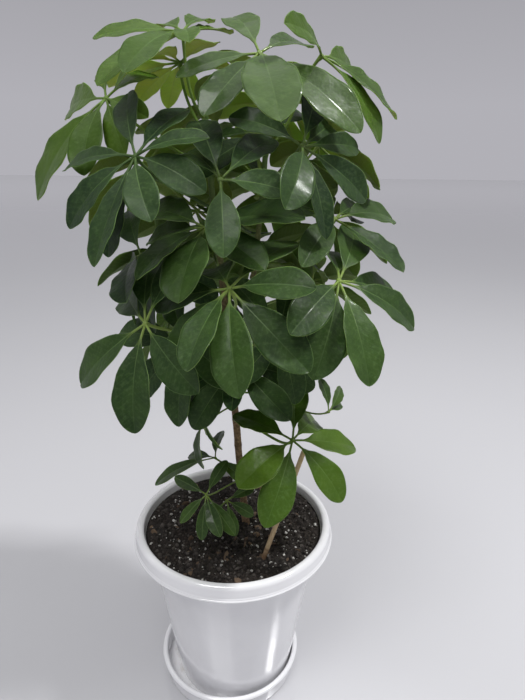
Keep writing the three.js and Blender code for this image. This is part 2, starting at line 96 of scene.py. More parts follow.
def add_skin(name, grids, values=(), smooth=True, crease=None):
    """A piece from grids in millimetres. Each of the values names an attribute and says how many of
    the numbers after x, y, z are its own: one, or three for a vector."""
    points, quads, fans = skin(grids)
    mesh = bpy.data.meshes.new(name)
    mesh.from_pydata((points[:, :3] * MM).tolist(), [], quads.tolist() + fans.tolist())
    place = 3
    for title, count in values:
        kind, field = ("FLOAT", "value") if count == 1 else ("FLOAT_VECTOR", "vector")
        own = np.ascontiguousarray(points[:, place:place + count], dtype=np.float32)
        mesh.attributes.new(title, kind, "POINT").data.foreach_set(field, own.ravel())
        place += count
    mesh.polygons.foreach_set("use_smooth", np.full(len(mesh.polygons), smooth))
    if crease:
        mesh.set_sharp_from_angle(angle=radians(crease))
    piece = bpy.data.objects.new(name, mesh)
    bpy.context.collection.objects.link(piece)
    return piece


def turned(profile, segments, x=0, grime=None):
    """Rows of points round an upright axis, (x + r cos a, r sin a, z), one for each (r, z) of the
    profile, each with the grime that gathers there, a function of r and z."""
    radius, height = profile[:, 0, None], profile[:, 1, None]
    turn = np.linspace(0, 2 * pi, segments, endpoint=False)
    level = 0 * turn + height
    dirt = 0 * level if grime is None else 0 * turn + grime(radius, height)
    return np.stack([x + radius * np.cos(turn), radius * np.sin(turn), level, dirt], axis=-1)


class Wire:
    """A value in a material. Sums, products and powers of wires and numbers add Math nodes."""

    def __init__(self, finish, socket):
        self.finish = finish
        self.socket = socket

    def math(self, operation, *values):
        """Adds a Math node on wires and numbers."""
        return self.finish.node("Math", {"operation": operation}, dict(enumerate(values)))

    def __add__(self, other):
        return self.math("ADD", self, other)

    def __sub__(self, other):
        return self.math("SUBTRACT", self, other)

    def __rsub__(self, other):
        return self.math("SUBTRACT", other, self)

    def __mul__(self, other):
        return self.math("MULTIPLY", self, other)

    def __pow__(self, other):
        return self.math("POWER", self, other)

    def __abs__(self):
        return self.math("ABSOLUTE", self)

    __radd__ = __add__
    __rmul__ = __mul__

    def rise(self, low, high):
        """0 up to low, 1 from high on, and an S-curve between."""
        settings = {"interpolation_type": "SMOOTHSTEP"}
        return self.finish.node("MapRange", settings, {"Value": self, "From Min": low, "From Max": high})

    def wave(self):
        """Its sine."""
        return self.math("SINE", self)


class Finish:
    """A material, or the sky, under construction round its shader. What is constant is set on the
    shader's own sockets, and what changes over the surface is wired to them."""

    def __init__(self, name, constants, family="materials", shader="Principled BSDF"):
        self.block = getattr(bpy.data, family).new(name)
        self.block.use_nodes = True
        self.tree = self.block.node_tree
        self.shader = self.tree.nodes[shader]
        for socket, value in constants.items():
            self.shader.inputs[socket].default_value = value

    def node(self, kind, settings, inputs, output=0):
        """Adds a node: its settings first, then the values or wires of its sockets."""
        node = self.tree.nodes.new("ShaderNode" + kind)
        for key, value in settings.items():
            setattr(node, key, value)
        for key, value in inputs.items():
            if isinstance(value, Wire):
                self.tree.links.new(value.socket, node.inputs[key])
            else:
                node.inputs[key].default_value = value
        return Wire(self, node.outputs[output])

    def place(self):
        """Where a point is on the piece, in metres."""
        return self.node("TexCoord", {}, {}, "Object")

    def parts(self, vector):
        """The three numbers of a vector."""
        return [self.node("SeparateXYZ", {}, {"Vector": vector}, axis) for axis in "XYZ"]

    def own(self, title, output="Vector"):
        """An attribute that the piece's points carry."""
        return self.node("Attribute", {"attribute_name": title}, {}, output)

    def noise(self, scale, detail, place=None):
        """Noise from 0 to 1, in blotches about 1 / scale metres across."""
        inputs = {"Vector": place or self.place(), "Scale": scale, "Detail": detail}
        return self.node("TexNoise", {}, inputs)

    def blend(self, share, below, above):
        """One colour into another by a share."""
        below, above = [c if isinstance(c, Wire) else (*c, 1) for c in (below, above)]
        return self.node("Mix", {"data_type": "RGBA"}, {0: share, 6: below, 7: above}, 2)

    def wire(self, wires):
        """Joins wires to the shader's sockets."""
        for socket, wire in wires.items():
            self.tree.links.new(wire.socket, self.shader.inputs[socket])

    def relief(self, height, depth):
        """Relief too fine for the mesh, from a height between 0 and 1 and a depth in metres."""
        inputs = {"Height": height, "Distance": depth, "Strength": 1.0}
        self.wire({"Normal": self.node("Bump", {}, inputs)})


def add_white_plastic(piece):
    """Glossy white plastic: a faint haze of wear, moulding ripple, and grime where it gathers."""
    finish = Finish(piece.name, {"Coat Roughness": 0.04, "Specular IOR Level": 0.55})
    haze = finish.noise(16, 3).rise(0.4, 0.75)
    film = finish.own("grime", "Fac")
    grime = film * finish.noise(110, 3).rise(0.48, 0.8)
    shade = finish.blend(haze * 0.5, WHITE, HAZE)
    finish.wire({
        "Base Color": finish.blend(grime * 0.4 + film * 0.04, shade, GRIME),
        "Roughness": 0.07 + haze * 0.06 + grime * 0.5,
        "Coat Weight": 0.6 - grime * 0.5,
    })
    finish.relief(finish.noise(45, 1) * 0.85 + finish.noise(1600, 1) * 0.15, 0.00015)
    piece.data.materials.append(finish.block)


def saucer_dirt(r, z):
    """Grime on the floor and low on the wall, fading out towards the lip."""
    return np.clip((SAUCER_INNER + 1 - r) / 6, 0, 1) * np.clip((16 - z) / 10, 0, 1) * (z > 1)


saucer_profile = np.concatenate([
    [[1, 0]],
    arc((SAUCER_INNER, 2.4), 2.4, -90, 0, 8),
    [[71.4, 16]],
    arc(SAUCER_LIP, SAUCER_LIP_RADIUS, -60, 190, 28),
    arc((SAUCER_INNER - 1.8, SAUCER_FLOOR + 1.8), 1.8, 0, -90, 7),
    [[1, SAUCER_FLOOR]],
])
saucer_grid = turned(stepped(saucer_profile, SAUCER_STEP), SAUCER_SEGMENTS, SAUCER_X, saucer_dirt)
saucer = add_skin("saucer_dish", [saucer_grid], [("grime", 1)], crease=CREASE)
add_white_plastic(saucer)
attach(saucer, "root")
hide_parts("saucer")

# Pot. Glossy white plastic, injection-moulded: a tapered wall on a foot ring, a floor with drain
# holes, and a collar that flares to a bead at its lower edge and rolls over to a lip at its top.

FOOT = (61, 3.3)
WALL_TOP = (85.2, 166)
WALL = 2.6
SHOULDER = 160  # height at which the inside of the wall turns out to the collar
POT_FLOOR = FOOT[1] + 3
BEAD = (98.6, 169.7)
BEAD_RADIUS = 1.4
LIP = (93.4, 180.2)
LIP_RADIUS = 3.8
LIP_STEPS = 26
POT_STEP = 6
POT_SEGMENTS = 160
DRAINS = 6
DRAIN_RING = 38
DRAIN_RADIUS = 5
DRAIN_SIDES = 24
DRAIN_DEPTH = 12  # of the rods that cut the holes, which go right through the floor


def wall_at(height):
    """Outside radius of the tapered wall at a height."""
    return FOOT[0] + (WALL_TOP[0] - FOOT[0]) * (height - FOOT[1]) / (WALL_TOP[1] - FOOT[1])


def pot_dirt(r, z):
    """Grime round the inside of the lip, above the soil."""
    return 0.9 * (r < 91.5) * np.clip((z - 168) / 4, 0, 1) * np.clip((181.6 - z) / 4, 0, 1)


pot_profile = np.concatenate([
    [[1, FOOT[1] + 1], [50, FOOT[1] + 1], [52, FOOT[1]]],
    arc((FOOT[0] - 2.4, FOOT[1] + 2.4), 2.4, -90, -8, 8),
    [WALL_TOP, (86.6, 169.4), (91.6, 174.6), (94.4, 176), (95.6, 175.2), (96.6, 169.4)],
    arc((97.4, 169), 0.7, 180, 270, 4),
    arc(BEAD, BEAD_RADIUS, -80, 62, 12),
    arc((101.2, 173.6), 2.7, 218, 178, 6),
    [[98.1, 176]],
    arc(LIP, LIP_RADIUS, 0, 180, LIP_STEPS) + np.linspace([0.5, -1], [0, 0], LIP_STEPS + 1),
    [[88.9, 174.2], [84.4, 170.4], [wall_at(SHOULDER) - WALL, SHOULDER]],
    arc((wall_at(POT_FLOOR) - WALL - 3, POT_FLOOR + 3), 3, 8, -90, 8),
    [[1, POT_FLOOR]],
])
pot_grid = turned(stepped(pot_profile, POT_STEP), POT_SEGMENTS, 0, pot_dirt)
pot = add_skin("pot_body", [pot_grid], [("grime", 1)], crease=CREASE)

drain_turn = 2 * pi * np.arange(DRAINS) / DRAINS
drain = turned(np.array([[DRAIN_RADIUS, 0], [DRAIN_RADIUS, DRAIN_DEPTH]]), DRAIN_SIDES)
drain_grid = np.tile(drain, (DRAINS, 1, 1, 1))
drain_grid[..., 0] += DRAIN_RING * np.cos(drain_turn)[:, None, None]
drain_grid[..., 1] += DRAIN_RING * np.sin(drain_turn)[:, None, None]
drains = add_skin("drains", [drain_grid])
cut = pot.modifiers.new("drains", "BOOLEAN")
cut.object = drains
drilled = pot.evaluated_get(bpy.context.evaluated_depsgraph_get())
pot.data = bpy.data.meshes.new_from_object(drilled)
pot.modifiers.clear()
bpy.data.objects.remove(drains)
add_white_plastic(pot)
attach(pot, "root")
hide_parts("pot")

# Soil. Dark potting mix of peat and fine bark that fills the pot to just under its lip. Its surface
# is crumbled, with crumbs of peat, white perlite and flakes of bark lying in it.

SOIL_LEVEL = 175.4
SOIL_EDGE = ((83.9, 170.5), (88.4, 174.4))  # where the soil meets the inside of the collar
GAP = 0.3  # between the soil and the pot's wall and floor
SOIL_RINGS = 70
SOIL_SEGMENTS = 240
CRUMBS = 1500
CRUMB_SIZES = (0.7, 2.3)
PERLITE = 320
PERLITE_SIZES = (0.4, 1.9)
FLAKES = 70
FLAKE_SIZES = (2, 4.4)
STREWN_TO = 86  # how far from the pot's middle the bits lie
PEAT = (0.010, 0.008, 0.0065)
LOAM = (0.044, 0.034, 0.029)
CRUMB_PALE = (0.085, 0.074, 0.066)
PERLITE_WHITE = (0.62, 0.61, 0.58)
PERLITE_GREY = (0.16, 0.15, 0.14)
BARK_BROWN = (0.070, 0.046, 0.032)
BARK_PALE = (0.16, 0.11, 0.07)


def soil_rise(x, y):
    """Height of the soil over its level: long swells, the sum and product of slow sines, and under a
    millimetre of lumps, a sum of faster sines in several directions."""
    swells = 1.3 * np.sin(0.11 * x + 1.3) * np.cos(0.13 * y - 0.4) + 0.7 * np.sin(0.29 * x + 0.21 * y)
    lumps = sum(
        np.sin(pace * (x * cos(turn) + y * sin(turn)) + 2 * turn) / pace
        for pace, turn in zip((0.7, 0.8, 0.95, 1.2, 1.5, 1.9), (0.3, 1.5, 2.6, 0.9, 2.1, 0.1))
    )
    return swells + 0.55 * lumps


def soil_height(x, y):
    """The soil's surface, with its swells and lumps dying out towards the pot's inside."""
    reach = np.hypot(x, y)
    slope = np.interp(reach, [0, 80, 84.5, SOIL_EDGE[1][0]], [0, 0, -0.3, SOIL_EDGE[1][1] - SOIL_LEVEL])
    return SOIL_LEVEL + slope + soil_rise(x, y) * np.clip((SOIL_EDGE[1][0] - reach) / 7, 0, 1)


soil_floor = POT_FLOOR + GAP
soil_profile = np.concatenate([
    [[1, soil_floor], [wall_at(soil_floor) - WALL - 3.5, soil_floor]],
    [[wall_at(soil_floor + 3) - WALL - GAP, soil_floor + 3], [wall_at(SHOULDER) - WALL - GAP, SHOULDER]],
    [SOIL_EDGE[0]],
    np.c_[np.linspace(SOIL_EDGE[1][0], 1, SOIL_RINGS), np.full(SOIL_RINGS, SOIL_LEVEL)],
])
soil_grid = turned(soil_profile, SOIL_SEGMENTS)
on_top = soil_grid[..., 2] > SOIL_LEVEL - 0.5
soil_grid[on_top, 2] = soil_height(soil_grid[on_top, 0], soil_grid[on_top, 1])
soil = add_skin("soil_bed", [soil_grid])

soil_finish = Finish("soil_mix", {"Specular IOR Level": 0.3})
damp = soil_finish.noise(28, 3).rise(0.35, 0.7)
grains = soil_finish.noise(520, 5)
mix_colour = soil_finish.blend(grains.rise(0.35, 0.75), PEAT, LOAM)
soil_finish.wire({
    "Base Color": soil_finish.blend(damp * 0.55, mix_colour, PEAT),
    "Roughness": 0.95 - damp * 0.25,
})
soil_finish.relief(grains * 0.6 + soil_finish.noise(1500, 3) * 0.4, 0.0016)
soil.data.materials.append(soil_finish.block)
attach(soil, "root")
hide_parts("soil")


def bits(draw, count, sizes, flat, rows, columns, sunk):
    """Lumps strewn over the soil. Each is a ball of a few faces whose points are drawn in or out at
    random, flattened along its own axis and turned any way. They are even over the disc, because the
    distance from the middle goes as the root of a draw. A point's last number is its lump's shade."""
    size = draw.uniform(*sizes, count)[:, None, None]
    rise = np.linspace(-1, 1, rows + 2)[1:-1] * pi / 2
    turn = np.linspace(0, 2 * pi, columns, endpoint=False)
    ball = np.stack(np.broadcast_arrays(
        np.cos(rise)[:, None] * np.cos(turn), np.cos(rise)[:, None] * np.sin(turn), np.sin(rise)[:, None]
    ), axis=-1)
    ball = ball * draw.uniform(0.72, 1.18, (count, rows, columns, 1))
    wide, long = draw.uniform(0.75, 1, count), draw.uniform(0.75, 1.3, count)
    shape = np.stack([wide, long, np.full(count, flat)], -1)
    turns, _ = np.linalg.qr(draw.normal(size=(count, 3, 3)))
    turns[:, :, 0] *= np.linalg.det(turns)[:, None]
    lumps = np.einsum("nij,nrcj->nrci", turns, ball * shape[:, None, None]) * size[..., None]
    reach, around = STREWN_TO * np.sqrt(draw.uniform(0, 1, count)), draw.uniform(0, 2 * pi, count)
    x, y = reach * np.cos(around), reach * np.sin(around)
    middle = np.stack([x, y, soil_height(x, y) - sunk * size[:, 0, 0]], -1)
    shade = np.broadcast_to(draw.uniform(0, 1, (count, 1, 1, 1)), (count, rows, columns, 1))
    return np.concatenate([lumps + middle[:, None, None], shade], axis=-1)


def add_bits(name, grid, dark, light, roughness, depth):
    """Strewn lumps, each shaded between two colours by its own number, and rough to the touch."""
    piece = add_skin(name, [grid], [("shade", 1)], smooth=False)
    finish = Finish(name, {"Specular IOR Level": 0.35})
    pits = finish.noise(1400, 3)
    shade = finish.own("shade", "Fac") * 0.8 + pits * 0.4 - 0.1
    finish.wire({"Base Color": finish.blend(shade, dark, light), "Roughness": roughness + pits * 0.1})
    finish.relief(pits, depth)
    piece.data.materials.append(finish.block)
    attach(piece, "root")


strewn = np.random.default_rng(11)
crumbs = bits(strewn, CRUMBS, CRUMB_SIZES, flat=0.7, rows=3, columns=6, sunk=-0.1)
perlite = bits(strewn, PERLITE, PERLITE_SIZES, flat=0.8, rows=3, columns=7, sunk=0.1)
flakes = bits(strewn, FLAKES, FLAKE_SIZES, flat=0.28, rows=3, columns=7, sunk=0.1)
add_bits("soil_crumbs", crumbs, PEAT, CRUMB_PALE, roughness=0.85, depth=0.0004)
add_bits("perlite", perlite, PERLITE_GREY, PERLITE_WHITE, roughness=0.8, depth=0.0003)
add_bits("bark_flakes", flakes, BARK_BROWN, BARK_PALE, roughness=0.8, depth=0.0006)

# Trunk. The woody stem of the plant, tan and a little crooked, ringed by the scars of the leaves that
# it has shed. It forks above the soil, and both stems are green near their growing tips.

TRUNK_SPINE = (
    (13, 4, 122), (12, 1, 176), (5, 0, 262), (-1, 4, 340), (-9, 5, 430), (-17, 5, 510), (-21, 4, 572)
)
TRUNK_RADII = (4.2, 2.2)
FORK_SPINE = (
    (1.5, 1.5, 300), (5, 7, 335), (15, 12, 400), (24, 9, 480), (29, 2, 545), (30, -1, 574)
)
FORK_RADII = (2.6, 2.2)
STEM_STEPS = 16  # legs of the line that the petioles leave from
STEM_ROWS = 120
STEM_SIDES = 20
SCAR_PITCH = 14.0
SCAR_WIDTH = 1.2
BEHIND = np.array([0.0, 1, 0])  # the way from the front to the back
BARK_TAN = (0.30, 0.20, 0.115)
BARK_DARK = (0.115, 0.075, 0.045)
STEM_GREEN = (0.085, 0.15, 0.035)


def spine(points, steps):
    """A smooth line through the points. Each leg is the cubic whose slope at either end is half the
    way between that end's neighbours, and past the ends of the line the points run on straight."""
    points = np.array(points, float)
    knots = np.concatenate([[2 * points[0] - points[1]], points, [2 * points[-1] - points[-2]]])
    pace = np.linspace(0, len(points) - 1, steps + 1)
    leg = np.minimum(pace.astype(int), len(points) - 2)
    t = (pace - leg)[:, None]
    before, a, b, after = (knots[leg + k] for k in range(4))
    leave, arrive = (b - before) / 2, (after - a) / 2
    square, cube = 3 * (b - a) - 2 * leave - arrive, 2 * (a - b) + leave + arrive
    return a + leave * t + square * t**2 + cube * t**3


def unit(vectors):
    """The vectors made one long."""
    return vectors / np.linalg.norm(vectors, axis=-1, keepdims=True)


def tube(points, radii, sides, across):
    """Rows of points round a line: middle + r (side cos a + up sin a), with side the given direction
    made square to the line, and up square to both."""
    along = unit(np.gradient(points, axis=0))
    side = unit(across - along * (along @ across)[:, None])
    turn = np.linspace(0, 2 * pi, sides, endpoint=False)[:, None]
    ring = side[:, None] * np.cos(turn) + np.cross(along, side)[:, None] * np.sin(turn)
    radii = np.asarray(radii)
    return points[:, None] + ring * (radii[..., None] if radii.ndim > 1 else radii[:, None, None])


def stem_grid(points, radii):
    """A stem as a tube that narrows evenly, swells by a tenth at each leaf scar, is uneven by slow
    waves in its girth, and closes to a rounded end. A point's last number is 1 at a scar, and 0
    between scars."""
    line = spine(points, STEM_ROWS)
    share = np.linspace(0, 1, STEM_ROWS + 1)
    past_scar = (line[:, 2] + SCAR_PITCH / 2) % SCAR_PITCH - SCAR_PITCH / 2
    scars = np.exp(-((past_scar / SCAR_WIDTH) ** 2))
    end = np.sqrt(np.clip((1 - share) / 0.012, 0.05, 1))
    girth = (radii[0] + (radii[1] - radii[0]) * share) * (0.97 + 0.1 * scars) * end
    turn, height = np.linspace(0, 2 * pi, STEM_SIDES, endpoint=False), line[:, 2, None]
    uneven = 1 + 0.05 * np.sin(3 * turn + height / 9) + 0.03 * np.sin(2 * turn - height / 21)
    grid = tube(line, girth[:, None] * uneven, STEM_SIDES, BEHIND)
    return np.concatenate([grid, np.broadcast_to(scars[:, None, None], grid.shape[:2] + (1,))], axis=-1)


trunk = add_skin(
    "trunk_wood", [stem_grid(TRUNK_SPINE, TRUNK_RADII), stem_grid(FORK_SPINE, FORK_RADII)], [("scar", 1)]
)
bark = Finish("trunk_bark", {"Specular IOR Level": 0.3})
height = bark.parts(bark.place())[2]
corky = bark.noise(420, 4)
scar = bark.own("scar", "Fac")
woody = bark.blend(corky.rise(0.3, 0.7), BARK_DARK, BARK_TAN)
woody = bark.blend(scar.rise(0.5, 1) * 0.7, woody, BARK_DARK)
greener = (height + bark.noise(40, 2) * 0.06).rise(0.40, 0.56)
bark.wire({"Base Color": bark.blend(greener, woody, STEM_GREEN), "Roughness": 0.85 - greener * 0.3})
bark.relief(corky * 0.6 + scar * 0.4, 0.0008)
trunk.data.materials.append(bark.block)
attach(trunk, "root")
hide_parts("trunk")

# Cane. A thin bamboo cane pushed into the soil beside the trunk, leaning to the right. It is dry and
# tan, with a ridge at each joint of the bamboo, and stained by the wet soil at its foot.

CANE_SPINE = ((20.5, -52.5, 143), (31, -49.5, 176), (49, -44.5, 232), (65.5, -40, 284))
CANE_RADIUS = 2.4
CANE_ROWS = 90
CANE_SIDES = 16
CANE_JOINT = 0.34  # share of its length between two joints
JOINT_SHIFT = 0.12  # and how far down they all are moved
JOINT_WIDTH = 0.006
BAMBOO = (0.42, 0.30, 0.17)
BAMBOO_PALE = (0.56, 0.43, 0.27)
WET_STAIN = (0.12, 0.06, 0.03)

cane_line = spine(CANE_SPINE, CANE_ROWS)
cane_share = np.linspace(0, 1, CANE_ROWS + 1)
past_joint = (cane_share + JOINT_SHIFT) % CANE_JOINT - CANE_JOINT / 2
joint = np.exp(-((past_joint / JOINT_WIDTH) ** 2))
cane_girth = CANE_RADIUS * (0.93 + 0.07 * joint) * np.sqrt(np.clip((1 - cane_share) / 0.006, 0.1, 1))
cane_grid = tube(cane_line, cane_girth, CANE_SIDES, BEHIND)
cane_grid = np.concatenate(
    [cane_grid, np.broadcast_to(joint[:, None, None], cane_grid.shape[:2] + (1,))], axis=-1
)
cane = add_skin("bamboo_cane", [cane_grid], [("joint", 1)])
dry = Finish("cane_bamboo", {"Specular IOR Level": 0.4})
lean = {"Vector": dry.place(), "Rotation": (0.09, -0.31, 0), "Scale": (1, 1, 0.04)}
fibres = dry.noise(1500, 2, dry.node("Mapping", {}, lean))
cane_height = dry.parts(dry.place())[2]
strip = dry.blend(fibres.rise(0.3, 0.7), BAMBOO, BAMBOO_PALE)
strip = dry.blend(dry.own("joint", "Fac") * 0.6, strip, WET_STAIN)
stain = 1 - (cane_height + dry.noise(150, 3) * 0.012).rise(0.183, 0.198)
dry.wire({"Base Color": dry.blend(stain * 0.85, strip, WET_STAIN), "Roughness": 0.5 + fibres * 0.25})
dry.relief(fibres, 0.0003)
cane.data.materials.append(dry.block)
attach(cane, "root")
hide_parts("cane")

# Leaves. Each is a compound leaf: a long green petiole with a ring of leathery, glossy leaflets
# round its end, each on its own little stalk. The leaflets bend down and clear of one another, are
# folded a little along a pale midrib, and young ones are brighter than old ones; on some leaves that
# brightness is painted light, given by a low age.

ARCH = 34  # degrees that a leaflet bends down from its foot to its tip
ARCH_SPREAD = 9  # and how much that varies from one to the next
TWIST = 13  # degrees that a blade may roll about its middle line towards its tip
SWAY = 0.05  # share of its reach that a tip may bend sideways
NECK = 0.16  # share of a leaflet's reach that is its own little stalk
NECK_HALF = 0.95  # and its half width
BROAD = 0.18  # half width of a blade over the leaflet's reach
FULL = 1.1  # how the blade widens from its foot
BLUNT = 0.7  # how it rounds off at its tip
PEAK = (FULL / (FULL + BLUNT)) ** FULL * (BLUNT / (FULL + BLUNT)) ** BLUNT
PETIOLE_RADIUS = 1.25
SMALL_REACH = 60  # of leaves up to this reach, the petiole is thin
SMALL_PETIOLE = 0.8
HANDLE = 0.3  # share of a petiole's span that it runs straight on at either end
LIFT = 0.16  # share of its span that it first rises
PETIOLE_LEGS = 12
CANE_OWNER, TRUNK_OWNER, FORK_OWNER = -1, -2, -3  # where a leaf has its own number
TRUNK_ROD = 3  # radius that blades keep clear of
FORK_ROD = 2.4
ROD_PITCH = 5
CLEAR = 3.4  # between the middles of two blades
ALONG_CLEAR = 2
EDGE_CLEAR = 1.5
SOIL_TOP = SOIL_LEVEL + 5  # no blade goes lower than this inside the pot
RIM_TOP = 190  # nor than this over its lip, which is within these two radii
IN_POT = 84
OVER_POT = 106
STATIONS = 14  # along a blade, at which it is tested
LAST_TESTED = 0.98  # share of its reach, because a tip has no width
ACROSS = np.array([-1, -0.5, 0, 0.5, 1])  # points tested at each, as shares of its half width
OWN_RODS = 0.35  # share of its reach up to which a leaflet may meet its own petiole
OWN_BLADES = 0.45  # and its neighbours round the hub
BENDS = (0, 8, -8, 16, 24, -16, 34, 46, 58)  # degrees, tried in this order
SWINGS = (0, 8, -8)


def ring(count, start, droop):
    """Leaflets evenly round a leaf, each a little off in its angle, droop and size by sines."""
    return [
        (
            start + i * 360 / count + 4 * sin(5.1 * i + start),
            droop + 6 * sin(2.4 * i + start),
            0.94 + 0.07 * sin(3.7 * i + start),
        )
        for i in range(count)
    ]
